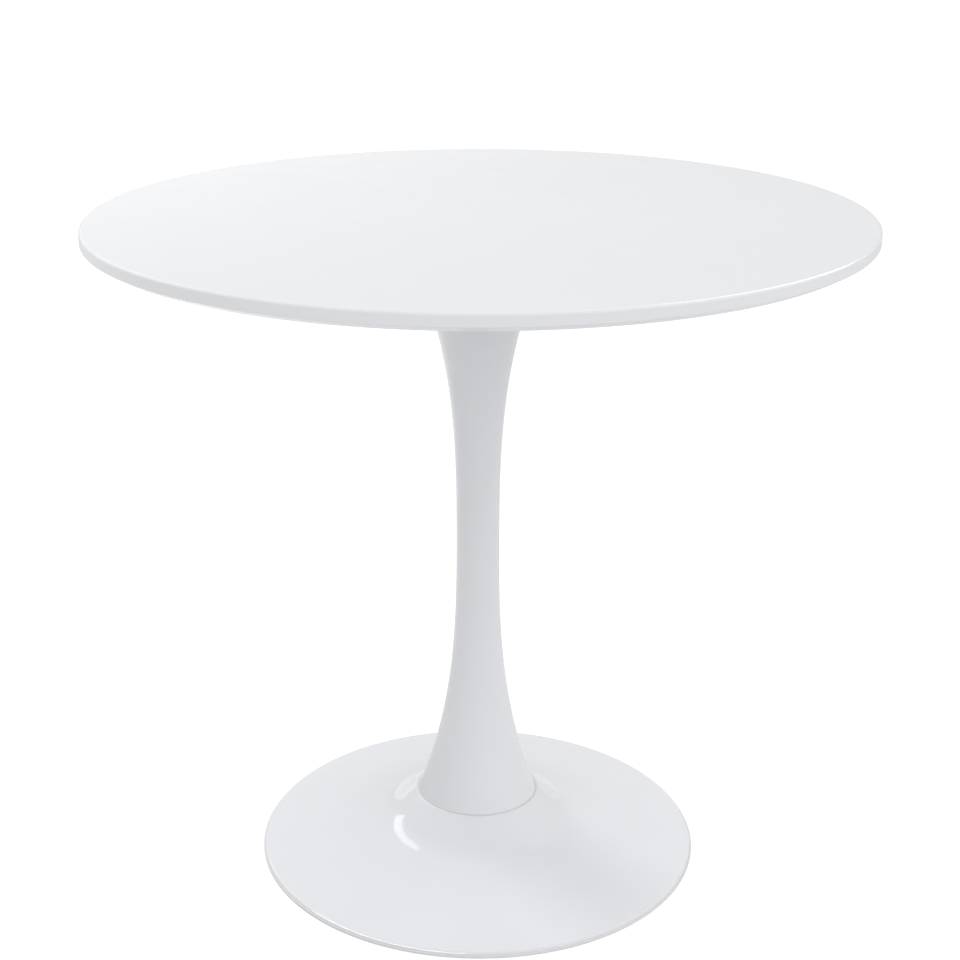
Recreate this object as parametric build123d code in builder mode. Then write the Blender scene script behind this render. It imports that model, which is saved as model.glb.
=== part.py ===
"""Round pedestal table: a lacquered board top on a spun steel trumpet column and a spun steel foot.

One threaded rod holds the pedestal together. It screws into a nut under the mounting plate, runs down
inside the column and is drawn tight by a nut inside the foot, so the column stands squeezed between the
plate and the foot. Six screws hold the plate under the tabletop.

Millimetres, +Z up. The origin is on the floor, on the table's axis.
"""

import os

from build123d import *

# ---------------------------------------------------------------- driving dimensions
table_height = 720.0

top_diameter = 800.0
top_thickness = 18.0
top_edge_round = 3.0  # upper arris
top_bevel_width = 10.0  # undercut that makes the board look thinner from the side
top_bevel_height = 5.5
top_bevel_round = 1.5  # where the bevel meets the upright edge

base_diameter = 488.0  # over the foot ring
base_sheet = 2.0
base_hub_height = 63.0  # floor to the flat seat of the column
hub_lip_radius = 68.5  # corner between the seat and the hub's side
hub_lip_round = 2.6
hub_toe_radius = 99.0  # where the hub's side and the inner brim would meet without their sweep
hub_toe_height = 33.0
hub_toe_sweep = 60.0  # radius of the sweep that joins them
brim_bend_radius = 150.0  # where the inner and the outer brim would meet
brim_bend_height = 18.5
brim_bend_sweep = 300.0
rim_height = 6.0
rim_round = 3.0

foot_ring_wall = 1.2
foot_ring_leg = 3.2  # height of its two legs, from the floor
foot_ring_round = 0.5

column_wall = 1.5
column_waist_radius = 23.4
column_foot_radius = 65.8
column_head_radius = 78.8
column_flare_power = 2.82
waist_below_middle = 7.6
end_disc_thickness = 3.0
end_disc_clearance = 0.02
gasket_thickness = 0.4
gasket_width = 14.0

mounting_plate_diameter = 220.0
mounting_plate_thickness = 4.0
mounting_plate_round = 1.0
plate_screw_count = 6
plate_screw_inset = 16.0  # plate's edge to a screw's axis
plate_screw_diameter = 6.0
plate_screw_length = 16.0
plate_screw_head_diameter = 10.5
plate_screw_head_height = 3.3
plate_screw_socket = 4.0  # across flats
plate_screw_socket_depth = 2.0
plate_washer_diameter = 12.0
plate_washer_thickness = 1.6
insert_diameter = 10.0
insert_length = 13.0
insert_drive = 6.6  # hexagon socket in the mouth of the insert, across flats
insert_drive_depth = 3.0

rod_diameter = 12.0
rod_end_chamfer = 1.2
jam_nut_height = 6.0
rod_end_gap = 1.5  # rod's top end to the board
rod_tail = 5.0  # rod showing below its nut
nut_across_flats = 18.0
nut_height = 10.8
nut_chamfer = 1.0
anchor_nut_length = 20.0
clamp_plate_diameter = 110.0
clamp_plate_thickness = 5.0
rod_washer_diameter = 37.0
rod_washer_thickness = 2.5
rod_spring_diameter = 21.0
rod_spring_thickness = 3.0

thread_clearance = 0.05  # on the radius, between a thread and what turns on it
hole_clearance = 0.3  # on the radius, round a screw or rod that passes through
spring_split = 1.0  # gap in a spring washer
outline_stations = (0.3, 0.55, 0.75, 0.9, 1.0)  # shares of a flare's height, from the waist

# ---------------------------------------------------------------- levels and shared radii
top_under = table_height - top_thickness
plate_under = top_under - mounting_plate_thickness
column_top = plate_under - gasket_thickness
column_bottom = base_hub_height + gasket_thickness
waist_height = (column_top + column_bottom) / 2 - waist_below_middle

rod_radius = rod_diameter / 2
rod_hole = rod_radius + hole_clearance
screw_radius = plate_screw_diameter / 2
screw_hole = screw_radius + hole_clearance
insert_radius = insert_diameter / 2
screw_circle = mounting_plate_diameter / 2 - plate_screw_inset

ring_radius = base_diameter / 2
rim_radius = ring_radius - foot_ring_wall

clamp_under = base_hub_height - base_sheet - clamp_plate_thickness
rod_washer_under = clamp_under - rod_washer_thickness
rod_spring_under = rod_washer_under - rod_spring_thickness
rod_nut_under = rod_spring_under - nut_height
rod_bottom = rod_nut_under - rod_tail
rod_top = top_under - rod_end_gap

anchor_under = plate_under - anchor_nut_length
jam_under = anchor_under - jam_nut_height

washer_under = plate_under - plate_washer_thickness
spring_under = washer_under - plate_washer_thickness


def flare(height):
    """Growth of the column from its waist to its end on that side, and the height it takes."""
    if height < waist_height:
        return column_foot_radius - column_waist_radius, waist_height - column_bottom
    return column_head_radius - column_waist_radius, column_top - waist_height


def column_radius(height):
    """Outer radius: the waist plus a power of the distance from it, so both ends flare like a trumpet."""
    growth, reach = flare(height)
    return column_waist_radius + growth * (abs(height - waist_height) / reach) ** column_flare_power


def column_slope(height):
    """How fast the outer radius grows per millimetre away from the waist."""
    growth, reach = flare(height)
    share = abs(height - waist_height) / reach
    return growth * column_flare_power / reach * share ** (column_flare_power - 1)


def column_inside(height):
    """Inner radius, one wall thickness in from the outer surface, measured square to it."""
    return column_radius(height) - column_wall * (1 + column_slope(height) ** 2) ** 0.5


def column_heights():
    """Heights of the outline's points, from the foot to the head."""
    below = [waist_height - share * (waist_height - column_bottom) for share in outline_stations]
    above = [waist_height + share * (column_top - waist_height) for share in outline_stations]
    return below[::-1] + [waist_height] + above


def save(part, name):
    """Label a finished piece with its node name and write it."""
    part.label = name
    export_step(part, f"parts/{name}.step")


os.makedirs("parts", exist_ok=True)

# ---------------------------------------------------------------- tabletop
with BuildPart() as tabletop:
    with BuildSketch(Plane.XZ) as board_section:
        with BuildLine():
            Polyline(
                (0, top_under),
                (top_diameter / 2 - top_bevel_width, top_under),
                (top_diameter / 2, top_under + top_bevel_height),
                (top_diameter / 2, table_height),
                (0, table_height),
                close=True,
            )
        make_face()
        outer_corners = board_section.vertices().sort_by(Axis.X)[-2:].sort_by(Axis.Y)
        fillet(outer_corners[0], top_bevel_round)
        fillet(board_section.vertices().group_by(Axis.Y)[-1].sort_by(Axis.X)[-1], top_edge_round)
    revolve(axis=Axis.Z)
    with Locations(Plane(origin=(0, 0, top_under), z_dir=(0, 0, -1))):
        with PolarLocations(screw_circle, plate_screw_count):
            Hole(insert_radius, depth=insert_length + hole_clearance)
save(tabletop.part, "tabletop")

# ---------------------------------------------------------------- threaded inserts in the board
with BuildPart() as threaded_inserts:
    with BuildSketch(Plane.XY.offset(top_under)):
        with PolarLocations(screw_circle, plate_screw_count):
            Circle(insert_radius)
            Circle(screw_radius + thread_clearance, mode=Mode.SUBTRACT)
    extrude(amount=insert_length)
    with BuildSketch(Plane.XY.offset(top_under)):
        with PolarLocations(screw_circle, plate_screw_count):
            RegularPolygon(insert_drive / 2, 6, major_radius=False)
    extrude(amount=insert_drive_depth, mode=Mode.SUBTRACT)
save(threaded_inserts.part, "threaded_inserts")

# ---------------------------------------------------------------- mounting plate
with BuildPart() as mounting_plate:
    with BuildSketch(Plane.XY.offset(plate_under)):
        Circle(mounting_plate_diameter / 2)
        Circle(rod_hole, mode=Mode.SUBTRACT)
        with PolarLocations(screw_circle, plate_screw_count):
            Circle(screw_hole, mode=Mode.SUBTRACT)
    extrude(amount=mounting_plate_thickness)
    outer_edges = mounting_plate.edges().filter_by(GeomType.CIRCLE).sort_by(SortBy.RADIUS)[-2:]
    fillet(outer_edges.sort_by(Axis.Z)[0], mounting_plate_round)
save(mounting_plate.part, "mounting_plate")

# ---------------------------------------------------------------- screws and washers of the plate
with BuildPart() as plate_flat_washers:
    with BuildSketch(Plane.XY.offset(washer_under)):
        with PolarLocations(screw_circle, plate_screw_count):
            Circle(plate_washer_diameter / 2)
            Circle(screw_hole, mode=Mode.SUBTRACT)
    extrude(amount=plate_washer_thickness)
save(plate_flat_washers.part, "plate_flat_washers")

with BuildPart() as plate_spring_washers:
    with BuildSketch(Plane.XY.offset(spring_under)):
        with PolarLocations(screw_circle, plate_screw_count):
            Circle(plate_screw_head_diameter / 2)
            Circle(screw_hole, mode=Mode.SUBTRACT)
        with PolarLocations(screw_circle + plate_screw_head_diameter / 2, plate_screw_count):
            Rectangle(plate_screw_head_diameter, spring_split, mode=Mode.SUBTRACT)
    extrude(amount=plate_washer_thickness)
save(plate_spring_washers.part, "plate_spring_washers")

with BuildPart() as plate_screws:
    with BuildSketch(Plane.XY.offset(spring_under)):
        with PolarLocations(screw_circle, plate_screw_count):
            Circle(screw_radius)
    extrude(amount=plate_screw_length)
    with BuildSketch(Plane.XY.offset(spring_under - plate_screw_head_height)):
        with PolarLocations(screw_circle, plate_screw_count):
            Circle(plate_screw_head_diameter / 2)
    extrude(amount=plate_screw_head_height)
    head_edges = plate_screws.edges().filter_by(GeomType.CIRCLE).group_by(Axis.Z)[0]
    fillet(head_edges, plate_screw_head_height / 2)
    with BuildSketch(Plane.XY.offset(spring_under - plate_screw_head_height)):
        with PolarLocations(screw_circle, plate_screw_count):
            RegularPolygon(plate_screw_socket / 2, 6, major_radius=False)
    extrude(amount=plate_screw_socket_depth, mode=Mode.SUBTRACT)
save(plate_screws.part, "plate_screws")

# ---------------------------------------------------------------- rod and the nuts it turns in
rod_nuts = {
    "rod_anchor_nut": (anchor_under, anchor_nut_length),  # welded under the mounting plate
    "rod_jam_nut": (jam_under, jam_nut_height),  # locks the rod in the anchor nut
    "rod_nut": (rod_nut_under, nut_height),  # draws the rod tight under the hub
}
corner_radius = nut_across_flats / 3**0.5

for nut_name, (nut_under, height) in rod_nuts.items():
    with BuildPart() as rod_nut:
        with BuildSketch(Plane.XY.offset(nut_under)):
            RegularPolygon(nut_across_flats / 2, 6, major_radius=False)
        extrude(amount=height)
        with BuildSketch(Plane.XZ):
            with BuildLine():
                Polyline(
                    (0, nut_under),
                    (corner_radius - nut_chamfer, nut_under),
                    (corner_radius, nut_under + nut_chamfer / 2),
                    (corner_radius, nut_under + height - nut_chamfer / 2),
                    (corner_radius - nut_chamfer, nut_under + height),
                    (0, nut_under + height),
                    close=True,
                )
            make_face()
        revolve(axis=Axis.Z, mode=Mode.INTERSECT)
        with BuildSketch(Plane.XY.offset(nut_under)):
            Circle(rod_radius + thread_clearance)
        extrude(amount=height, mode=Mode.SUBTRACT)
    save(rod_nut.part, nut_name)

with BuildPart() as tie_rod:
    with BuildSketch(Plane.XY.offset(rod_bottom)):
        Circle(rod_radius)
    extrude(amount=rod_top - rod_bottom)
    chamfer(tie_rod.edges().filter_by(GeomType.CIRCLE), rod_end_chamfer)
save(tie_rod.part, "tie_rod")

# ---------------------------------------------------------------- column and its end discs
with BuildPart() as column_shell:
    with BuildSketch(Plane.XZ):
        with BuildLine():
            outer = Spline(
                *[(column_radius(z), z) for z in column_heights()],
                tangents=[
                    (-column_slope(column_bottom), 1),
                    (column_slope(column_top), 1),
                ],
            )
            inner = Spline(*[(column_inside(z), z) for z in column_heights()])
            Line(outer @ 0, inner @ 0)
            Line(outer @ 1, inner @ 1)
        make_face()
    revolve(axis=Axis.Z)
save(column_shell.part, "column_shell")

with BuildPart() as column_head_disc:
    with BuildSketch(Plane.XY.offset(column_top - end_disc_thickness)):
        Circle(column_inside(column_top - end_disc_thickness) - end_disc_clearance)
        RegularPolygon(nut_across_flats / 2 + hole_clearance, 6, major_radius=False, mode=Mode.SUBTRACT)
    extrude(amount=end_disc_thickness)
save(column_head_disc.part, "column_head_disc")

with BuildPart() as column_foot_disc:
    with BuildSketch(Plane.XY.offset(column_bottom)):
        Circle(column_inside(column_bottom + end_disc_thickness) - end_disc_clearance)
        Circle(rod_hole, mode=Mode.SUBTRACT)
    extrude(amount=end_disc_thickness)
save(column_foot_disc.part, "column_foot_disc")

gaskets = {
    "column_foot_gasket": (base_hub_height, column_foot_radius),
    "column_head_gasket": (column_top, column_head_radius),
}
for gasket_name, (gasket_under, gasket_radius) in gaskets.items():
    with BuildPart() as gasket:
        with BuildSketch(Plane.XY.offset(gasket_under)):
            Circle(gasket_radius)
            Circle(gasket_radius - gasket_width, mode=Mode.SUBTRACT)
        extrude(amount=gasket_thickness)
    save(gasket.part, gasket_name)

# ---------------------------------------------------------------- foot of the table
with BuildPart() as base_shell:
    with BuildSketch(Plane.XZ):
        with BuildLine():
            FilletPolyline(
                (rod_hole, base_hub_height),
                (hub_lip_radius, base_hub_height),
                (hub_toe_radius, hub_toe_height),
                (brim_bend_radius, brim_bend_height),
                (rim_radius, rim_height),
                (rim_radius, foot_ring_wall),
                radius=[hub_lip_round, hub_toe_sweep, brim_bend_sweep, rim_round],
            )
            offset(amount=base_sheet, side=Side.RIGHT)
        make_face()
    revolve(axis=Axis.Z)
save(base_shell.part, "base_shell")

with BuildPart() as foot_ring:
    with BuildSketch(Plane.XZ) as ring_section:
        with BuildLine():
            Polyline(
                (ring_radius, 0),
                (ring_radius, foot_ring_leg),
                (rim_radius, foot_ring_leg),
                (rim_radius, foot_ring_wall),
                (rim_radius - base_sheet, foot_ring_wall),
                (rim_radius - base_sheet, foot_ring_leg),
                (rim_radius - base_sheet - foot_ring_wall, foot_ring_leg),
                (rim_radius - base_sheet - foot_ring_wall, 0),
                close=True,
            )
        make_face()
        fillet(ring_section.vertices().group_by(Axis.X)[-1], foot_ring_round)
    revolve(axis=Axis.Z)
save(foot_ring.part, "foot_ring")

# ---------------------------------------------------------------- what draws the rod tight, under the hub
with BuildPart() as clamp_plate:
    with BuildSketch(Plane.XY.offset(clamp_under)):
        Circle(clamp_plate_diameter / 2)
        Circle(rod_hole, mode=Mode.SUBTRACT)
    extrude(amount=clamp_plate_thickness)
save(clamp_plate.part, "clamp_plate")

with BuildPart() as rod_flat_washer:
    with BuildSketch(Plane.XY.offset(rod_washer_under)):
        Circle(rod_washer_diameter / 2)
        Circle(rod_hole, mode=Mode.SUBTRACT)
    extrude(amount=rod_washer_thickness)
save(rod_flat_washer.part, "rod_flat_washer")

with BuildPart() as rod_spring_washer:
    with BuildSketch(Plane.XY.offset(rod_spring_under)):
        Circle(rod_spring_diameter / 2)
        Circle(rod_hole, mode=Mode.SUBTRACT)
        with Locations((rod_spring_diameter / 2, 0)):
            Rectangle(rod_spring_diameter, spring_split, mode=Mode.SUBTRACT)
    extrude(amount=rod_spring_thickness)
save(rod_spring_washer.part, "rod_spring_washer")
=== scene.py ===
# %% [markdown]
# # A white pedestal table
# The table is a round lacquered board on a trumpet-shaped steel column and a dished steel foot. Nearly
# every piece was made by turning, spinning or threading, so nearly every piece here is a curve carried
# round an axis. The lesson builds the studio first, then one small kit of surface functions, then the
# pieces from the top down, and last the finishes.

# %% Load the frame
import math

import bmesh
import bpy
import numpy as np
from mathutils import Matrix, Vector


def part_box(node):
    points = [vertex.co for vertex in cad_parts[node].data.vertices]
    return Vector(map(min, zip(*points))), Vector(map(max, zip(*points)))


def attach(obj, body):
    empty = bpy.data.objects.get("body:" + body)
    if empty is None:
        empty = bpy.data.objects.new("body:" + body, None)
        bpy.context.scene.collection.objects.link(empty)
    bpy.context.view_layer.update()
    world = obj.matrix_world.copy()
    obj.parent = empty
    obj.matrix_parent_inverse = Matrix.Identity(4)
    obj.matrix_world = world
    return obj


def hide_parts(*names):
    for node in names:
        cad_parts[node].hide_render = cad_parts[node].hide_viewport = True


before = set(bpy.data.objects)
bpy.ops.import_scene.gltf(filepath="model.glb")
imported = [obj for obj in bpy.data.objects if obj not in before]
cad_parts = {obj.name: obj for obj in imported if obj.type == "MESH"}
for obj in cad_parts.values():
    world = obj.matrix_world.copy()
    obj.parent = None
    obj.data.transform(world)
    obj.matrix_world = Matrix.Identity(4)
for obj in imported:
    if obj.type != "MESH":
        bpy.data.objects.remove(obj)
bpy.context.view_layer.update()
MM = 0.001


# %% [markdown]
# ## Camera
# A table is photographed from a little above its top, so that the board reads as a disc and the foot as
# a second one below it. A 67 mm lens keeps the two ellipses nearly alike. Moving closer with a wider
# lens would swell the board and shrink the foot. The camera stands a hand to the left of the table and
# is shifted back by the same amount, which leaves the column upright in the middle of the picture.

# %% Camera
CAMERA_PLACE = (-0.0343, -1.8113, 1.0858)
CAMERA_TILT = math.radians(90 - 19.822)
CAMERA_ROLL = math.radians(-0.209)
LENS = 67.53
SHIFT = 0.0354

camera = bpy.data.objects.new("camera", bpy.data.cameras.new("camera"))
bpy.context.collection.objects.link(camera)
camera.location = CAMERA_PLACE
turned_back = Matrix.Rotation(CAMERA_TILT, 3, "X") @ Matrix.Rotation(CAMERA_ROLL, 3, "Z")
camera.rotation_euler = turned_back.to_euler()
camera.data.lens = LENS
camera.data.shift_x = SHIFT
bpy.context.scene.camera = camera
bpy.context.scene.view_settings.view_transform = "Standard"
print("camera", tuple(round(v, 3) for v in camera.location))

# %% [markdown]
# ## Studio
# White on white only works if the light is uneven. The sky here is brighter overhead, on the right and in
# front, so the column turns gently from grey to white and stays darker than the board that shades it. The
# floor gives back less light than the sky sends down, so everything that faces down or sideways is darker
# than what faces up.
#
# One soft lamp stands back on the left and lights all but the column. A second one beside it lights the
# board alone and whitens its left side. Three white cards light nothing and are only mirrored in the
# gloss, as studio reflectors are, and each is flagged off from all but one piece: a tall one gives the hub
# its highlight, a wide one draws a line along the foot's front rim, and a narrow one draws a line along
# the board's right edge.

# %% A helper that adds one shader node
def node(tree, kind, inputs=None, **settings):
    """Add one node. settings are its own properties, and inputs gives each socket a value or a link."""
    made = tree.nodes.new(kind)
    for key, value in settings.items():
        setattr(made, key, value)
    for key, value in (inputs or {}).items():
        if isinstance(value, bpy.types.NodeSocket):
            tree.links.new(value, made.inputs[key])
        else:
            made.inputs[key].default_value = value
    return made


# %% Sky
SKY = 0.78
SKY_LEAN = (0.30, -0.21, 0.25)  # how much brighter it gets towards +X, +Y and +Z
MIRRORED_SKY = 0.70  # what the gloss sees instead, with a third of the lean, so no side is burnt out
MIRRORED_LEAN = 0.35

world = bpy.data.worlds.new("studio")
world.use_nodes = True
bpy.context.scene.world = world
sky = world.node_tree
sky.nodes.clear()
direction = node(sky, "ShaderNodeTexCoord").outputs["Generated"]
leaning = {0: direction, 1: SKY_LEAN}
lean = node(sky, "ShaderNodeVectorMath", leaning, operation="DOT_PRODUCT").outputs["Value"]
strength = node(sky, "ShaderNodeMath", {0: lean, 1: SKY}, operation="ADD").outputs[0]
gentle = {0: lean, 1: MIRRORED_LEAN, 2: MIRRORED_SKY}
mirrored = node(sky, "ShaderNodeMath", gentle, operation="MULTIPLY_ADD").outputs[0]
path = node(sky, "ShaderNodeLightPath").outputs
lit = node(sky, "ShaderNodeMix", {0: path["Is Glossy Ray"], 2: strength, 3: mirrored}).outputs[0]
shown = node(sky, "ShaderNodeMix", {0: path["Is Camera Ray"], 2: lit, 3: 1.0}).outputs[0]
background = node(sky, "ShaderNodeBackground", {"Color": (1, 1, 1, 1), "Strength": shown})
node(sky, "ShaderNodeOutputWorld", {"Surface": background.outputs[0]})
print("sky", SKY, "leaning", SKY_LEAN)


# %% Lights
def soft_light(name, place, aim, size, watts, hidden_from):
    """A rectangular lamp at place, turned to face aim, size = (width, height) in metres. It is hidden
    from the camera and from either the diffuse or the glossy light of every surface."""
    lamp = bpy.data.lights.new(name, "AREA")
    lamp.shape = "RECTANGLE"
    lamp.size, lamp.size_y = size
    lamp.energy = watts
    stand = bpy.data.objects.new(name, lamp)
    bpy.context.collection.objects.link(stand)
    stand.location = place
    stand.rotation_euler = (Vector(aim) - Vector(place)).to_track_quat("-Z", "Y").to_euler()
    stand.visible_camera = False
    setattr(stand, "visible_" + hidden_from, False)
    return stand


def flag_off(lamp, lit):
    """Keep a lamp's light off everything but the listed pieces."""
    group = bpy.data.collections.new(lamp.name + "_lights")
    for piece in lit:
        group.objects.link(piece)
    lamp.light_linking.receiver_collection = group


HUB = (-0.08, -0.06, 0.04)
RIM_LEFT = (-0.12, -0.20, 0.0)
BOARD_LEFT = (-0.25, -0.10, 0.72)
BOARD_RIGHT = (0.30, -0.27, 0.72)
key = soft_light("key_light", (-1.14, 1.18, 1.35), HUB, (0.9, 0.9), 15, "glossy")
board_light = soft_light("board_light", (-1.37, 0.75, 1.35), BOARD_LEFT, (0.6, 0.6), 7, "glossy")
tall_card = soft_light("tall_card", (-1.21, 1.04, 1.27), HUB, (0.36, 1.40), 3, "diffuse")
rim_card = soft_light("rim_card", (-1.06, -0.99, 0.80), RIM_LEFT, (2.6, 0.45), 34, "diffuse")
edge_card = soft_light("edge_card", (1.20, 0.36, 1.74), BOARD_RIGHT, (0.25, 1.50), 9, "diffuse")
print("lights:", [lamp.name for lamp in (key, board_light, tall_card, rim_card, edge_card)])

# %% Floor
FLOOR_RADIUS = 30.0
FLOOR_WHITE = 0.68
FLOOR_LIFT = 0.50  # added for the eye, so that the paper looks white and yet lights the piece less
MIRRORED_LIFT = 0.12  # share of it that the gloss sees

floor_mesh = bpy.data.meshes.new("floor")
angles = np.linspace(0, 2 * np.pi, 96, endpoint=False)
rim = np.stack([np.cos(angles), np.sin(angles), 0 * angles], 1) * FLOOR_RADIUS
floor_mesh.from_pydata(rim.tolist(), [], [list(range(len(rim)))])
floor = bpy.data.objects.new("floor", floor_mesh)
bpy.context.collection.objects.link(floor)
paper = bpy.data.materials.new("white_paper_floor")
paper.use_nodes = True
paper_shader = paper.node_tree.nodes["Principled BSDF"]
paper_shader.inputs["Base Color"].default_value = (FLOOR_WHITE, FLOOR_WHITE, FLOOR_WHITE, 1)
paper_shader.inputs["Roughness"].default_value = 0.9
paper_shader.inputs["Specular IOR Level"].default_value = 0.1
paper_shader.inputs["Emission Color"].default_value = (1, 1, 1, 1)
weave = paper.node_tree
path = node(weave, "ShaderNodeLightPath").outputs
shares = {0: path["Is Glossy Ray"], 1: MIRRORED_LIFT, 2: path["Is Camera Ray"]}
looked_at = node(weave, "ShaderNodeMath", shares, operation="MULTIPLY_ADD").outputs[0]
lift = node(weave, "ShaderNodeMath", {0: looked_at, 1: FLOOR_LIFT}, operation="MULTIPLY").outputs[0]
weave.links.new(lift, paper_shader.inputs["Emission Strength"])
floor_mesh.materials.append(paper)

# %% [markdown]
# ## A kit for turned pieces
# An outline drawn beside the axis and carried round it is how a lathe, a spinning chuck and a potter's
# wheel all make a shape. Working with the whole outline as one array gives exact roundings, and a
# rounding of even a third of a millimetre is what catches the light along an edge.
#
# A corner's rounding takes r x tan(turn / 2) from each of its two straight runs. Two more points a
# little way along each run keep the smooth shading of the rounding from leaking across the flat.

# %% Outlines
ARC_STEP = math.radians(9)
SUPPORT = 0.25 * MM
LONGEST_RUN = 14 * MM


def corner_arc(before, here, after, radius):
    """Points of the arc, or the one sharp corner, that joins the runs before-here and here-after."""
    if radius == 0:
        return here[None]
    inward = (before - here) / np.linalg.norm(before - here)
    onward = (after - here) / np.linalg.norm(after - here)
    turn = math.pi - math.acos(np.clip(inward @ onward, -1, 1))
    cut = radius * math.tan(turn / 2)
    middle = (inward + onward) / np.linalg.norm(inward + onward)
    centre = here + middle * radius / math.cos(turn / 2)
    first, last = here + inward * cut - centre, here + onward * cut - centre
    start = math.atan2(first[1], first[0])
    sweep = math.remainder(math.atan2(last[1], last[0]) - start, 2 * math.pi)
    angle = start + np.linspace(0, sweep, max(4, math.ceil(turn / ARC_STEP)) + 1)
    return centre + radius * np.stack([np.cos(angle), np.sin(angle)], 1)


def straight(start, end):
    """Points between two arcs: one just after the first, one just before the second, and even steps."""
    length = np.linalg.norm(end - start)
    if length < 3 * SUPPORT:
        return np.empty((0, 2))
    steps = max(1, math.ceil(length / LONGEST_RUN))
    along = np.linspace(SUPPORT, length - SUPPORT, steps + 1) / length
    return start + (end - start) * along[:, None]


def outline(corners, closed=False):
    """Outline through corners given as (radius from the axis, height, rounding), all in metres."""
    spots = np.array([corner[:2] for corner in corners])
    roundings = [corner[2] if len(corner) > 2 else 0 for corner in corners]
    count = len(spots)
    if not closed:
        roundings[0] = roundings[-1] = 0
    arcs = [corner_arc(spots[i - 1], spots[i], spots[(i + 1) % count], roundings[i]) for i in range(count)]
    pieces = [arcs[0]]
    for last, following in zip(arcs, arcs[1:]):
        pieces += [straight(last[-1], following[0]), following]
    if closed:
        pieces.append(straight(arcs[-1][-1], arcs[0][0]))
    return np.concatenate(pieces)


# %% Surfaces
def turned(points, around):
    """Carry (radius, height) points round the axis: x = r cos a, y = r sin a, for even angles a."""
    a = np.linspace(0, 2 * np.pi, around, endpoint=False)
    radius, up = points[:, 0, None], points[:, 1, None]
    return np.stack([radius * np.cos(a), radius * np.sin(a), up + 0 * a], -1)


def quads(rows, columns, first, loop):
    """Corner numbers of the faces of a grid whose columns close on themselves, and rows too in a loop."""
    i = np.arange(rows if loop else rows - 1)[:, None]
    j = np.arange(columns)[None, :]
    below, above = i * columns, (i + 1) % rows * columns
    right = (j + 1) % columns
    return first + np.stack([below + j, below + right, above + right, above + j], -1).reshape(-1, 4)


def skin(name, grids, loop=False):
    """One closed mesh from grids of points. Equal points are welded, so poles and shared rings close."""
    points = np.concatenate([grid.reshape(-1, 3) for grid in grids])
    starts = np.cumsum([0] + [grid.shape[0] * grid.shape[1] for grid in grids])
    faces = np.concatenate([quads(g.shape[0], g.shape[1], s, loop) for g, s in zip(grids, starts)])
    mesh = bpy.data.meshes.new(name)
    mesh.from_pydata(points.tolist(), [], faces.tolist())
    form = bmesh.new()
    form.from_mesh(mesh)
    bmesh.ops.remove_doubles(form, verts=form.verts, dist=1e-7)
    bmesh.ops.recalc_face_normals(form, faces=form.faces)
    volume = form.calc_volume(signed=True)
    if volume < 0:
        bmesh.ops.reverse_faces(form, faces=form.faces)
    open_edges = sum(not edge.is_manifold for edge in form.edges)
    form.to_mesh(mesh)
    form.free()
    mesh.shade_smooth()
    mesh.set_sharp_from_angle(angle=math.radians(32))
    piece = bpy.data.objects.new(name, mesh)
    bpy.context.collection.objects.link(piece)
    print(f"{name}: {len(mesh.polygons)} faces, {abs(volume) * 1e6:.2f} cm3, {open_edges} open edges")
    return piece


def stand_for(piece, cad_node):
    """The piece rides with the table and hides its plain CAD node."""
    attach(piece, "root")
    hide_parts(cad_node)


def levels(cad_node):
    """Lowest and highest point of a CAD node, and its radius about the table's axis."""
    low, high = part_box(cad_node)
    return low[2], high[2], high[0]


# %% [markdown]
# ## Holes in a flat face
# The board and the mounting plate are discs with a ring of six holes. Cutting them with a boolean would
# leave long thin faces. Here the ring of the face that holds the holes is cut into six equal fields, and
# each field's border is drawn in, step by step, until it is the hole's circle. The border's points are
# the same ones that the rest of the face ends on, so everything welds.

# %% Fields round the screw holes
SCREW_COUNT = 6
screw_low, screw_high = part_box("plate_screws")
plate_low, plate_high, plate_radius = levels("mounting_plate")
SCREW_CIRCLE = plate_radius - 16 * MM
FIELD_INNER = SCREW_CIRCLE - 11 * MM
FIELD_OUTER = SCREW_CIRCLE + 11 * MM
FIELD_SIDE_STEPS = 8
DRAW_IN = np.array([0, 0.35, 0.65, 0.85, 0.97])[:, None, None]


def field_border(around):
    """Border of the field about the +X axis: out along one side, round, back along the other, round."""
    steps = around // SCREW_COUNT
    half = math.pi / SCREW_COUNT
    swing = np.linspace(-half, half, steps + 1)
    rise = np.linspace(FIELD_INNER, FIELD_OUTER, FIELD_SIDE_STEPS + 1)
    outer = FIELD_OUTER * np.stack([np.cos(swing), np.sin(swing)], 1)
    inner = FIELD_INNER * np.stack([np.cos(swing), np.sin(swing)], 1)[::-1]
    far_side = rise[::-1, None] * np.array([math.cos(half), math.sin(half)])
    near_side = rise[:, None] * np.array([math.cos(half), -math.sin(half)])
    return np.concatenate([outer[:-1], far_side[:-1], inner[:-1], near_side[:-1]])


def drilled_field(number, around, wall, far_face=None):
    """Field number of six: its border drawn in to the hole, the hole's (radius, height) rows, and, for a
    hole that goes through, the same field drawn out again on the far face."""
    border = field_border(around)
    centre = np.array([SCREW_CIRCLE, 0])
    outward = (border - centre) / np.linalg.norm(border - centre, axis=1)[:, None]
    circles = centre + wall[:, 0, None, None] * outward
    near = border + (circles[0] - border) * DRAW_IN
    flat = [near, circles]
    heights = [np.full(len(near), wall[0, 1]), wall[:, 1]]
    if far_face is not None:
        far = (border + (circles[-1] - border) * DRAW_IN)[::-1]
        flat.append(far)
        heights.append(np.full(len(far), far_face))
    flat, heights = np.concatenate(flat), np.concatenate(heights)
    turn = 2 * math.pi * number / SCREW_COUNT
    x = flat[..., 0] * math.cos(turn) - flat[..., 1] * math.sin(turn)
    y = flat[..., 0] * math.sin(turn) + flat[..., 1] * math.cos(turn)
    return np.stack([x, y, heights[:, None] + 0 * x], -1)


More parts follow.
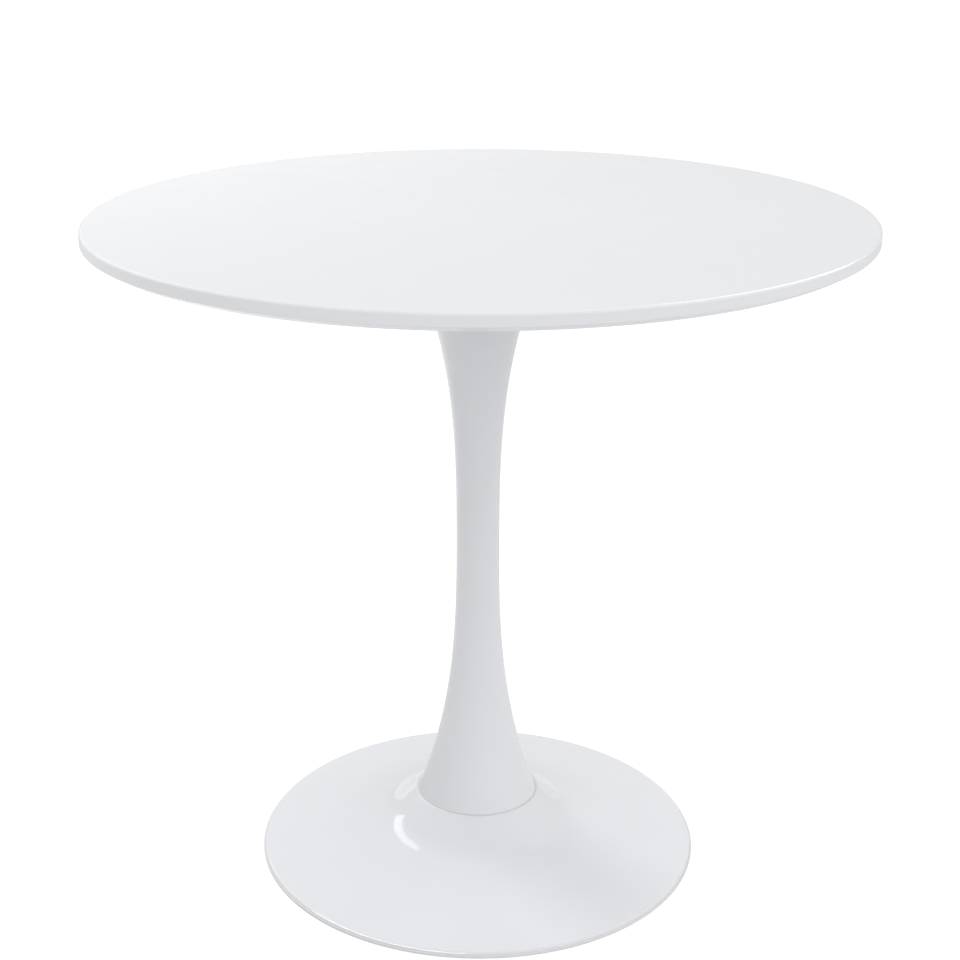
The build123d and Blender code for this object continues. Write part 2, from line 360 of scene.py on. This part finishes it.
def about_screws(grid):
    """Six copies of a grid made about the Z axis, moved out to the screw circle and turned with it."""
    copies = []
    for number in range(SCREW_COUNT):
        turn = 2 * math.pi * number / SCREW_COUNT
        x = (grid[..., 0] + SCREW_CIRCLE) * math.cos(turn) - grid[..., 1] * math.sin(turn)
        y = (grid[..., 0] + SCREW_CIRCLE) * math.sin(turn) + grid[..., 1] * math.cos(turn)
        copies.append(np.stack([x, y, grid[..., 2]], -1))
    return copies


# %% [markdown]
# ## Tabletop
# The real board is fibreboard, turned round on a router and sprayed with lacquer. Its upper arris has a
# small round that catches the light as one thin line, and below the upright edge a bevel runs back under
# the board, so that an 18 mm board looks half as thick. The lacquer softens every corner by about a
# millimetre, which a bare cylinder would not show.

# %% Tabletop
ROUND_THE_TOP = 384
BEVEL_WIDTH = 10 * MM
BEVEL_HEIGHT = 5.5 * MM
INSERT_HOLE = 5.0 * MM
insert_low, insert_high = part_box("threaded_inserts")
hole_top = insert_high[2] + 0.3 * MM
top_low, top_high, top_radius = levels("tabletop")

edge = outline(
    [
        (FIELD_OUTER, top_low),
        (top_radius - BEVEL_WIDTH, top_low, 1.2 * MM),
        (top_radius, top_low + BEVEL_HEIGHT, 1.5 * MM),
        (top_radius, top_high, 3.0 * MM),
        (0, top_high),
    ]
)
hub = outline([(0, top_low), (FIELD_INNER, top_low)])
hole = outline([(INSERT_HOLE, top_low), (INSERT_HOLE, hole_top, 0.5 * MM), (0, hole_top)])
board_grids = [turned(edge, ROUND_THE_TOP), turned(hub, ROUND_THE_TOP)]
board_grids += [drilled_field(number, ROUND_THE_TOP, hole) for number in range(SCREW_COUNT)]
board = skin("lacquered_board", board_grids)
stand_for(board, "tabletop")

# %% [markdown]
# ## Column
# The column is spun from steel sheet over a trumpet-shaped chuck. Its radius grows with a power of the
# distance from the waist: a power near 2.8 keeps the middle slim and straight and lets both ends flare
# late. The two ends are cut square and broken with a fine round.

# %% Column
ROUND_THE_COLUMN = 256
WAIST_RADIUS = 23.4 * MM
FOOT_END_RADIUS = 65.8 * MM
FLARE_POWER = 2.82
WAIST_BELOW_MIDDLE = 7.6 * MM
COLUMN_WALL = 1.5 * MM
column_low, column_high, column_end_radius = levels("column_shell")
waist_height = (column_low + column_high) / 2 - WAIST_BELOW_MIDDLE


def column_outline(rows):
    """Outer wall: radius = waist + growth x (distance from the waist / reach) ^ power. The inner wall is
    the same line moved square to itself by the sheet's thickness, and fine rounds join the two."""
    z = waist_height + np.concatenate([
        -np.linspace(1, 0, rows // 2, endpoint=False) ** 0.8 * (waist_height - column_low),
        np.linspace(0, 1, rows // 2 + 1) ** 0.8 * (column_high - waist_height),
    ])
    growth = np.where(z < waist_height, FOOT_END_RADIUS, column_end_radius) - WAIST_RADIUS
    reach = np.where(z < waist_height, waist_height - column_low, column_high - waist_height)
    outer = np.stack([WAIST_RADIUS + growth * (np.abs(z - waist_height) / reach) ** FLARE_POWER, z], 1)
    along = np.gradient(outer, axis=0)
    along /= np.linalg.norm(along, axis=1)[:, None]
    inner = outer - COLUMN_WALL * np.stack([along[:, 1], -along[:, 0]], 1)
    inner[:, 1] = np.clip(inner[:, 1], column_low, column_high)
    lift = 0.12 * MM
    outer[0] += lift * along[0]
    outer[-1] -= lift * along[-1]
    foot = outer[0] * 0.75 + inner[0] * 0.25
    head = outer[-1] * 0.75 + inner[-1] * 0.25
    foot[1], head[1] = column_low, column_high
    return np.concatenate([outer, head[None], inner[::-1], foot[None]])


column = skin("trumpet_column", [turned(column_outline(200), ROUND_THE_COLUMN)], loop=True)
stand_for(column, "column_shell")

# %% [markdown]
# ## Foot
# The foot is one disc of 2 mm steel sheet, spun over a former. The hub in the middle has a tight lip, a
# steep side, a sweep, and then a brim that flattens slowly to the rim. Only the sweep and the lip can
# mirror the card, so the highlight on the hub is a crescent, and that shape tells the eye that the foot
# is polished and hollow-curved.

# %% Foot
ROUND_THE_FOOT = 384
SHEET = 2.0 * MM
RING_WALL = 1.2 * MM
base_low, base_high, rim_radius = levels("base_shell")
FOOT_LINE = [
    (68.5 * MM, base_high, 2.6 * MM),
    (99.0 * MM, 33.0 * MM, 60 * MM),
    (150.0 * MM, 18.5 * MM, 300 * MM),
    (rim_radius, 6.0 * MM, 3.0 * MM),
]
ROD_HOLE = 6.3 * MM


def sheet_outline(line, thickness):
    """Upper face as drawn, and a lower face moved square to it by the sheet's thickness."""
    upper = outline(line)
    along = np.gradient(upper, axis=0)
    along /= np.linalg.norm(along, axis=1)[:, None]
    lower = upper + thickness * np.stack([along[:, 1], -along[:, 0]], 1)
    return np.concatenate([upper, lower[::-1]])


foot_line = [(ROD_HOLE, base_high)] + FOOT_LINE + [(rim_radius, base_low)]
foot = skin("spun_foot", [turned(sheet_outline(foot_line, SHEET), ROUND_THE_FOOT)], loop=True)
stand_for(foot, "base_shell")

# %% Edging round the foot
ring_low, ring_high, ring_radius = levels("foot_ring")
ring_inner = rim_radius - SHEET - RING_WALL
ring = outline(
    [
        (ring_radius, ring_low, 0.5 * MM),
        (ring_radius, ring_high, 0.45 * MM),
        (rim_radius, ring_high, 0.2 * MM),
        (rim_radius, ring_low + RING_WALL),
        (rim_radius - SHEET, ring_low + RING_WALL),
        (rim_radius - SHEET, ring_high, 0.2 * MM),
        (ring_inner, ring_high, 0.45 * MM),
        (ring_inner, ring_low, 0.5 * MM),
    ],
    closed=True,
)
edging = skin("foot_edging", [turned(ring, ROUND_THE_FOOT)], loop=True)
stand_for(edging, "foot_ring")

# %% [markdown]
# ## Plates, discs and gaskets
# These are pressed or cut from sheet. Each one has its edges broken, because a real blank is tumbled
# after cutting and the light finds that small round before it finds anything else.

# %% Mounting plate
ROUND_A_PLATE = 192
SCREW_HOLE = 3.3 * MM

plate_edge = outline(
    [
        (FIELD_OUTER, plate_low),
        (plate_radius, plate_low, 1.0 * MM),
        (plate_radius, plate_high, 0.5 * MM),
        (FIELD_OUTER, plate_high),
    ]
)
plate_middle = outline(
    [
        (FIELD_INNER, plate_high),
        (ROD_HOLE, plate_high, 0.3 * MM),
        (ROD_HOLE, plate_low, 0.3 * MM),
        (FIELD_INNER, plate_low),
    ]
)
screw_wall = outline([(SCREW_HOLE, plate_low), (SCREW_HOLE, plate_high)])
plate_grids = [turned(plate_edge, ROUND_A_PLATE), turned(plate_middle, ROUND_A_PLATE)]
plate_grids += [
    drilled_field(number, ROUND_A_PLATE, screw_wall, far_face=plate_high) for number in range(SCREW_COUNT)
]
plate = skin("steel_mounting_plate", plate_grids)
stand_for(plate, "mounting_plate")


# %% Discs, washers and gaskets
def ring_blank(cad_node, inner, break_edge):
    """Outline of a flat ring with the CAD node's levels and radius, and its four corners rounded."""
    low, high, radius = levels(cad_node)
    corners = [(inner, low), (radius, low), (radius, high), (inner, high)]
    return outline([(*corner, break_edge) for corner in corners], closed=True)


GASKET_WIDTH = 14 * MM
gasket_inner = {end: levels(f"column_{end}_gasket")[2] - GASKET_WIDTH for end in ("foot", "head")}
rings = {
    "hub_clamp_plate": ("clamp_plate", ROD_HOLE, 0.6 * MM, "zinc_plated_steel"),
    "rod_washer": ("rod_flat_washer", ROD_HOLE, 0.4 * MM, "zinc_plated_steel"),
    "column_foot_centring_disc": ("column_foot_disc", ROD_HOLE, 0.3 * MM, "zinc_plated_steel"),
    "foot_gasket": ("column_foot_gasket", gasket_inner["foot"], 0.1 * MM, "white_gasket"),
    "head_gasket": ("column_head_gasket", gasket_inner["head"], 0.1 * MM, "white_gasket"),
}
ring_pieces = {}
for name, (cad_node, inner, break_edge, slot) in rings.items():
    blank = ring_blank(cad_node, inner, break_edge)
    ring_pieces[name] = skin(name, [turned(blank, ROUND_A_PLATE)], loop=True)
    stand_for(ring_pieces[name], cad_node)

# %% [markdown]
# ## Threads and hexagons
# A screw thread is one ridge that climbs by its pitch in each turn. On a grid of angle and height its
# radius is a zigzag of (height / pitch - angle / full turn), and because a whole turn changes that by
# exactly one, the seam closes by itself. A hexagon's radius is its half width across flats over the
# cosine of the angle from the nearest flat's middle. Both are plain arithmetic on whole arrays.

# %% Thread and hexagon radii
def zigzag(phase):
    """0 at whole numbers, 1 half way between, straight in between."""
    return 1 - np.abs(2 * (phase % 1) - 1)


def thread_grid(start, end, crest, depth, pitch, around, per_turn=10, runout=1.0):
    """Rows of a helical ridge from one height to another: radius = crest - depth x (1 - zigzag), where
    the depth fades out over runout pitches at both ends. A negative depth cuts a nut's thread."""
    rows = max(2, math.ceil(abs(end - start) / pitch * per_turn))
    z = np.linspace(start, end, rows + 1)[:, None]
    a = np.linspace(0, 2 * np.pi, around, endpoint=False)[None, :]
    from_end = np.minimum(np.abs(z - start), np.abs(z - end)) / (runout * pitch)
    radius = crest - depth * (1 - zigzag(z / pitch - a / (2 * np.pi))) * np.clip(from_end, 0, 1)
    return np.stack([radius * np.cos(a), radius * np.sin(a), z + 0 * a], -1)


def hexagon(around, half_width):
    """Radius at each angle of a hexagon with a corner on the +X axis."""
    a = np.linspace(0, 2 * np.pi, around, endpoint=False)
    from_flat = (a % (math.pi / 3)) - math.pi / 6
    return half_width / np.cos(from_flat)


def at_radius(radius, height, around):
    """One row of points at a radius that may change with the angle."""
    a = np.linspace(0, 2 * np.pi, around, endpoint=False)
    return np.stack([radius * np.cos(a), radius * np.sin(a), height + 0 * a], -1)[None]


# %% Nuts
NUT_HALF_WIDTH = 9.0 * MM
ROD_RADIUS = 6.0 * MM
ROD_PITCH = 1.75 * MM
THREAD_DEPTH = 0.61  # share of the pitch
CUT_SHARE = 0.8  # share of the full thread that is left in a nut
NUT_CHAMFER = math.radians(30)
CHAMFER_RISE = 0.9 * MM
FACE_SHARE = 0.96  # round face of a nut over its width across flats
AROUND_A_NUT = 72


def nut_grid(low, high):
    """Hexagon with both ends turned to a 30 degree cone, and a threaded bore with countersunk mouths."""
    hex_radius = hexagon(AROUND_A_NUT, NUT_HALF_WIDTH)
    rise = np.linspace(0, CHAMFER_RISE, 7)
    cone = NUT_HALF_WIDTH * FACE_SHARE + rise / math.tan(NUT_CHAMFER)
    widths = [np.minimum(hex_radius, c) for c in cone]
    foot_rows = [at_radius(width, low + up, AROUND_A_NUT) for width, up in zip(widths, rise)]
    head_rows = [at_radius(width, high - up, AROUND_A_NUT) for width, up in zip(widths, rise)][::-1]
    mouth = ROD_RADIUS + 0.35 * MM
    cut = THREAD_DEPTH * ROD_PITCH * CUT_SHARE
    bore = ROD_RADIUS + 0.05 * MM - cut
    top, foot_end = high - CHAMFER_RISE, low + CHAMFER_RISE
    inside = thread_grid(top, foot_end, bore, -cut, ROD_PITCH, AROUND_A_NUT)
    mouths = [at_radius(mouth, height, AROUND_A_NUT) for height in (high, low)]
    return np.concatenate(foot_rows + head_rows + [mouths[0], inside, mouths[1]])


nuts = {"welded_anchor_nut": "rod_anchor_nut", "thin_jam_nut": "rod_jam_nut", "clamping_nut": "rod_nut"}
nut_pieces = {}
for name, cad_node in nuts.items():
    low, high, _ = levels(cad_node)
    nut_pieces[name] = skin(name, [nut_grid(low, high)], loop=True)
    stand_for(nut_pieces[name], cad_node)

# %% Rod
ROD_THREAD_TOP = 45 * MM
ROD_THREAD_FOOT = 55 * MM
ROD_END_CHAMFER = 1.2 * MM
AROUND_THE_ROD = 48
rod_low, rod_high, _ = levels("tie_rod")
rod_depth = THREAD_DEPTH * ROD_PITCH
plain_radius = ROD_RADIUS - rod_depth / 2
first_thread = rod_low + 0.7 * ROD_END_CHAMFER
last_thread = rod_high - 0.7 * ROD_END_CHAMFER
rod_thread = {
    "crest": ROD_RADIUS, "depth": rod_depth, "pitch": ROD_PITCH, "around": AROUND_THE_ROD, "runout": 0.5,
}
rod_grid = np.concatenate(
    [
        at_radius(0, rod_low, AROUND_THE_ROD),
        at_radius(ROD_RADIUS - ROD_END_CHAMFER, rod_low, AROUND_THE_ROD),
        thread_grid(first_thread, rod_low + ROD_THREAD_FOOT, **rod_thread),
        at_radius(plain_radius, rod_low + ROD_THREAD_FOOT + 1 * MM, AROUND_THE_ROD),
        at_radius(plain_radius, rod_high - ROD_THREAD_TOP - 1 * MM, AROUND_THE_ROD),
        thread_grid(rod_high - ROD_THREAD_TOP, last_thread, **rod_thread),
        at_radius(ROD_RADIUS - ROD_END_CHAMFER, rod_high, AROUND_THE_ROD),
        at_radius(0, rod_high, AROUND_THE_ROD),
    ]
)
rod = skin("threaded_rod", [rod_grid])
stand_for(rod, "tie_rod")

# %% Head disc with its hexagonal cut-out
head_low, head_high, head_radius = levels("column_head_disc")
cut_out = hexagon(ROUND_A_PLATE, NUT_HALF_WIDTH + 0.3 * MM)
clear_of_nut = NUT_HALF_WIDTH * 1.4
disc_rows = outline(
    [
        (clear_of_nut, head_low),
        (head_radius, head_low, 0.3 * MM),
        (head_radius, head_high, 0.3 * MM),
        (clear_of_nut, head_high),
    ]
)
head_grid = np.concatenate(
    [
        at_radius(cut_out, head_low, ROUND_A_PLATE),
        turned(disc_rows, ROUND_A_PLATE),
        at_radius(cut_out, head_high, ROUND_A_PLATE),
    ]
)
head_disc = skin("column_head_centring_disc", [head_grid], loop=True)
stand_for(head_disc, "column_head_disc")

# %% [markdown]
# ## Screws, washers and inserts
# Six button-head screws hold the plate to the board, each through a spring washer and a flat washer into
# a threaded insert. A spring washer is a square wire wound one turn and cut, so its two ends pass each
# other, and its section carried along a short helix says that better than a ring with a slot.

# %% Screws
AROUND_A_SCREW = 36
SCREW_RADIUS = 3.0 * MM
SCREW_PITCH = 1.0 * MM
SCREW_HEAD_RADIUS = 5.25 * MM
SCREW_HEAD_HEIGHT = 3.3 * MM
SOCKET_HALF_WIDTH = 2.0 * MM
SOCKET_DEPTH = 2.0 * MM
head_foot = screw_low[2]
under_head = head_foot + SCREW_HEAD_HEIGHT
socket = hexagon(AROUND_A_SCREW, SOCKET_HALF_WIDTH)
dome = outline(
    [
        (2.75 * MM, head_foot, 0.15 * MM),
        (3.6 * MM, head_foot, 0.8 * MM),
        (SCREW_HEAD_RADIUS, head_foot + 1.9 * MM, 0.9 * MM),
        (SCREW_HEAD_RADIUS, under_head, 0.2 * MM),
        (SCREW_RADIUS + 0.2 * MM, under_head),
    ]
)
screw_grid = np.concatenate(
    [
        at_radius(0, head_foot + SOCKET_DEPTH + 0.5 * MM, AROUND_A_SCREW),
        at_radius(socket, head_foot + SOCKET_DEPTH, AROUND_A_SCREW),
        at_radius(socket, head_foot + 0.35 * MM, AROUND_A_SCREW),
        turned(dome, AROUND_A_SCREW),
        thread_grid(
            under_head + 0.3 * MM, screw_high[2] - 0.6 * MM,
            SCREW_RADIUS, THREAD_DEPTH * SCREW_PITCH, SCREW_PITCH, AROUND_A_SCREW, per_turn=8,
        ),
        at_radius(SCREW_RADIUS - 0.7 * MM, screw_high[2], AROUND_A_SCREW),
        at_radius(0, screw_high[2], AROUND_A_SCREW),
    ]
)
screws = skin("button_head_screws", about_screws(screw_grid))
stand_for(screws, "plate_screws")

# %% Flat washers
WASHER_RADIUS = 6.0 * MM
washer_low, washer_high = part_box("plate_flat_washers")
washer = outline(
    [
        (SCREW_HOLE, washer_low[2], 0.15 * MM),
        (WASHER_RADIUS, washer_low[2], 0.3 * MM),
        (WASHER_RADIUS, washer_high[2], 0.3 * MM),
        (SCREW_HOLE, washer_high[2], 0.15 * MM),
    ],
    closed=True,
)
flat_washers = skin("flat_washers", about_screws(turned(washer, 48)), loop=True)
stand_for(flat_washers, "plate_flat_washers")


# %% Spring washers
SPRING_SPLIT = 1.0 * MM
ROD_SPRING_RADIUS = 10.5 * MM


def spring_grid(inner, outer, low, high, rise, split, steps=96):
    """A rounded square section carried round nearly one turn while it climbs by rise, ends drawn shut."""
    thickness = high - low - rise
    corners = [(inner, 0), (outer, 0), (outer, thickness), (inner, thickness)]
    section = outline([(*corner, 0.2 * MM) for corner in corners], closed=True)
    half_split = split / (inner + outer)
    a = np.linspace(half_split, 2 * math.pi - half_split, steps)
    lift = low + rise * np.linspace(0, 1, steps)
    ends = [0] + list(range(steps)) + [steps - 1]
    centre = section.mean(axis=0)
    shrink = np.ones(steps + 2)
    shrink[[0, -1]] = 0
    drawn = centre + (section[None] - centre) * shrink[:, None, None]
    radius, up = drawn[..., 0], drawn[..., 1] + lift[ends][:, None]
    return np.stack([radius * np.cos(a[ends])[:, None], radius * np.sin(a[ends])[:, None], up], -1)


spring_low, spring_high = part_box("plate_spring_washers")
small_spring = spring_grid(
    SCREW_HOLE, SCREW_HEAD_RADIUS, spring_low[2], spring_high[2], 0.15 * MM, SPRING_SPLIT, steps=60
)
spring_washers = skin("split_spring_washers", about_screws(small_spring))
stand_for(spring_washers, "plate_spring_washers")

rod_spring_low, rod_spring_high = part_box("rod_spring_washer")
big_spring = spring_grid(
    ROD_HOLE, ROD_SPRING_RADIUS, rod_spring_low[2], rod_spring_high[2], 0.25 * MM, SPRING_SPLIT
)
rod_spring = skin("rod_split_washer", [big_spring])
stand_for(rod_spring, "rod_spring_washer")

# %% Threaded inserts
INSERT_PITCH = 3.0 * MM
INSERT_THREAD = 1.1 * MM  # how deep its outer thread is cut
DRIVE_HALF_WIDTH = 3.3 * MM
DRIVE_DEPTH = 3.0 * MM
low, high = insert_low[2], insert_high[2]
drive = hexagon(AROUND_A_SCREW, DRIVE_HALF_WIDTH)
outer_thread = thread_grid(
    low + 0.8 * MM, high - 0.3 * MM,
    INSERT_HOLE, INSERT_THREAD, INSERT_PITCH, AROUND_A_SCREW, per_turn=16, runout=0.3,
)
inner_thread = thread_grid(
    high - 0.4 * MM, low + DRIVE_DEPTH,
    SCREW_RADIUS + 0.05 * MM, -0.1 * MM, SCREW_PITCH, AROUND_A_SCREW, per_turn=8,
)
insert_grid = np.concatenate(
    [
        outer_thread,
        at_radius(INSERT_HOLE - INSERT_THREAD, high, AROUND_A_SCREW),
        at_radius(SCREW_RADIUS + 0.3 * MM, high, AROUND_A_SCREW),
        inner_thread,
        at_radius(drive, low + DRIVE_DEPTH, AROUND_A_SCREW),
        at_radius(drive, low + 0.3 * MM, AROUND_A_SCREW),
        at_radius(drive + 0.25 * MM, low, AROUND_A_SCREW),
        at_radius(INSERT_HOLE - 0.3 * MM, low, AROUND_A_SCREW),
        at_radius(INSERT_HOLE, low + 0.3 * MM, AROUND_A_SCREW),
    ]
)
inserts = skin("board_inserts", about_screws(insert_grid), loop=True)
stand_for(inserts, "threaded_inserts")

# %% [markdown]
# ## Finishes
# White paint is the hardest finish to make real, because almost everything that shows is in the gloss.
# The lacquer and the powder coat share one body: a nearly white base, a clear sharp coat, and a ripple
# called orange peel that paint keeps from flowing out. They differ in the size of that ripple.

# %% Colour
def colour(hex_code):
    """sRGB hex to linear light: c / 12.92 low down, and ((c + 0.055) / 1.055) ^ 2.4 above."""
    srgb = np.array([int(hex_code[i : i + 2], 16) for i in (1, 3, 5)]) / 255
    linear = np.where(srgb <= 0.04045, srgb / 12.92, ((srgb + 0.055) / 1.055) ** 2.4)
    return (*linear.tolist(), 1.0)


def finish(name):
    """A new material, its node tree, its shader and its Object coordinates."""
    material = bpy.data.materials.new(name)
    material.use_nodes = True
    tree = material.node_tree
    place = node(tree, "ShaderNodeTexCoord").outputs["Object"]
    return material, tree, tree.nodes["Principled BSDF"], place


def noise(tree, place, size, detail=2.0, roughness=0.5):
    """Noise whose lumps are about size metres across."""
    inputs = {"Vector": place, "Scale": 1 / size, "Detail": detail, "Roughness": roughness}
    return node(tree, "ShaderNodeTexNoise", inputs).outputs[0]


def between(tree, factor, low, high):
    """Map noise, which stays mostly within 0.3 to 0.7, onto low to high."""
    return node(tree, "ShaderNodeMapRange", {0: factor, 1: 0.3, 2: 0.7, 3: low, 4: high}).outputs[0]


def blend_colours(tree, factor, first, second):
    """Mix two hex colours by a factor."""
    inputs = {0: factor, 6: colour(first), 7: colour(second)}
    return node(tree, "ShaderNodeMix", inputs, data_type="RGBA").outputs[2]


def ripple(tree, shader, height, depth, strength=1.0):
    """Bump by a height field that is depth metres deep."""
    inputs = {"Strength": strength, "Distance": depth, "Height": height}
    tree.links.new(node(tree, "ShaderNodeBump", inputs).outputs[0], shader.inputs["Normal"])


# %% Gloss polyurethane lacquer, sprayed on fibreboard
def gloss_lacquer():
    """Sprayed and left to flow out: a cool white with soft reflections and a ripple about 5 mm long."""
    material, tree, shader, place = finish("gloss_polyurethane_lacquer")
    drift = noise(tree, place, 0.16)
    tree.links.new(blend_colours(tree, drift, "#EDEEF1", "#EAECEF"), shader.inputs["Base Color"])
    tree.links.new(between(tree, noise(tree, place, 0.05), 0.16, 0.20), shader.inputs["Roughness"])
    shader.inputs["IOR"].default_value = 1.50
    shader.inputs["Coat Weight"].default_value = 0.5
    shader.inputs["Coat Roughness"].default_value = 0.06
    ripple(tree, shader, noise(tree, place, 0.005, detail=1.0), 0.012 * MM)
    return material


# %% Gloss polyester powder coat on spun steel
def gloss_powder_coat():
    """Melted powder levels into thick gloss: a neutral white, sharp mirror, a ripple about 3 mm long."""
    material, tree, shader, place = finish("gloss_polyester_powder_coat")
    drift = noise(tree, place, 0.12)
    tree.links.new(blend_colours(tree, drift, "#E6E7EA", "#E3E4E7"), shader.inputs["Base Color"])
    tree.links.new(between(tree, noise(tree, place, 0.04), 0.10, 0.13), shader.inputs["Roughness"])
    shader.inputs["IOR"].default_value = 1.52
    shader.inputs["Coat Weight"].default_value = 0.55
    shader.inputs["Coat Roughness"].default_value = 0.03
    ripple(tree, shader, noise(tree, place, 0.003, detail=1.0), 0.004 * MM)
    return material


# %% Bright zinc plating on cold-formed steel
def zinc_plating():
    """Thin bright metal over tool marks: cool grey, cloudy in patches, with a fine grain of 0.6 mm."""
    material, tree, shader, place = finish("bright_zinc_plating")
    clouds = noise(tree, place, 0.012, detail=4.0)
    grain = noise(tree, place, 0.0006, detail=3.0)
    tree.links.new(blend_colours(tree, clouds, "#C4C7CB", "#AEB0B3"), shader.inputs["Base Color"])
    tree.links.new(between(tree, clouds, 0.24, 0.40), shader.inputs["Roughness"])
    shader.inputs["Metallic"].default_value = 1.0
    ripple(tree, shader, grain, 0.01 * MM)
    return material


# %% Die-cast zinc alloy
def cast_zinc():
    """Cast in a steel die and left bare: a dull mid grey with a soft frosted skin of 0.4 mm grain."""
    material, tree, shader, place = finish("die_cast_zinc_alloy")
    clouds = noise(tree, place, 0.006, detail=3.0)
    tree.links.new(blend_colours(tree, clouds, "#A6A7AA", "#8E8F93"), shader.inputs["Base Color"])
    tree.links.new(between(tree, clouds, 0.42, 0.55), shader.inputs["Roughness"])
    shader.inputs["Metallic"].default_value = 1.0
    ripple(tree, shader, noise(tree, place, 0.0004, detail=3.0), 0.02 * MM)
    return material


# %% Die-cut rubber sheet
def gasket_rubber():
    """Cut from calendered sheet: off-white, matt, with a cloth-like grain of half a millimetre."""
    material, tree, shader, place = finish("die_cut_rubber_sheet")
    grain = noise(tree, place, 0.0005, detail=3.0)
    tree.links.new(blend_colours(tree, grain, "#D9DADC", "#CFD0D2"), shader.inputs["Base Color"])
    shader.inputs["Roughness"].default_value = 0.75
    ripple(tree, shader, grain, 0.03 * MM)
    return material


# %% Extruded soft vinyl edging
def soft_vinyl():
    """Drawn through a die: pale grey, satin, with faint drag lines and scuffs, and darkened in patches
    where it meets the floor, partly scuff wear and partly painted contact shade.
    """
    material, tree, shader, place = finish("extruded_soft_vinyl")
    rise = node(tree, "ShaderNodeSeparateXYZ", {0: place}).outputs["Z"]
    scuffs = noise(tree, place, 0.004, detail=5.0, roughness=0.65)
    # painted contact shade: the bottom 0.9 mm, where the edging meets the floor, turns darker grey in
    # scuff-shaped patches, partly scuff wear and partly shade painted into the colour
    floor_contact_shade = node(tree, "ShaderNodeMapRange", {0: rise, 1: 0.0, 2: 0.9 * MM, 3: 1.0, 4: 0.0}).outputs[0]
    scuffs_and_contact_shade = node(tree, "ShaderNodeMath", {0: scuffs, 1: floor_contact_shade}, operation="MULTIPLY").outputs[0]
    tree.links.new(blend_colours(tree, scuffs_and_contact_shade, "#E4E4E6", "#B9B9BA"), shader.inputs["Base Color"])
    tree.links.new(between(tree, scuffs, 0.35, 0.5), shader.inputs["Roughness"])
    ripple(tree, shader, scuffs, 0.02 * MM)
    return material


# %% Put the finishes on
lacquer, powder, zinc = gloss_lacquer(), gloss_powder_coat(), zinc_plating()
rubber, vinyl, casting = gasket_rubber(), soft_vinyl(), cast_zinc()
wears = {
    lacquer: [board],
    powder: [column, foot, plate],
    vinyl: [edging],
    casting: [inserts],
    rubber: [ring_pieces["foot_gasket"], ring_pieces["head_gasket"]],
    zinc: [
        ring_pieces["hub_clamp_plate"], ring_pieces["rod_washer"], ring_pieces["column_foot_centring_disc"],
        head_disc, rod, screws, flat_washers, spring_washers, rod_spring, *nut_pieces.values(),
    ],
}
for material, pieces in wears.items():
    for piece in pieces:
        piece.data.materials.append(material)
    print(material.name, "on", [piece.name for piece in pieces])

# %% Flag the lamps off
flag_off(key, [floor, foot, edging, board])
flag_off(board_light, [board])
flag_off(tall_card, [foot])
flag_off(rim_card, [foot])
flag_off(edge_card, [board])
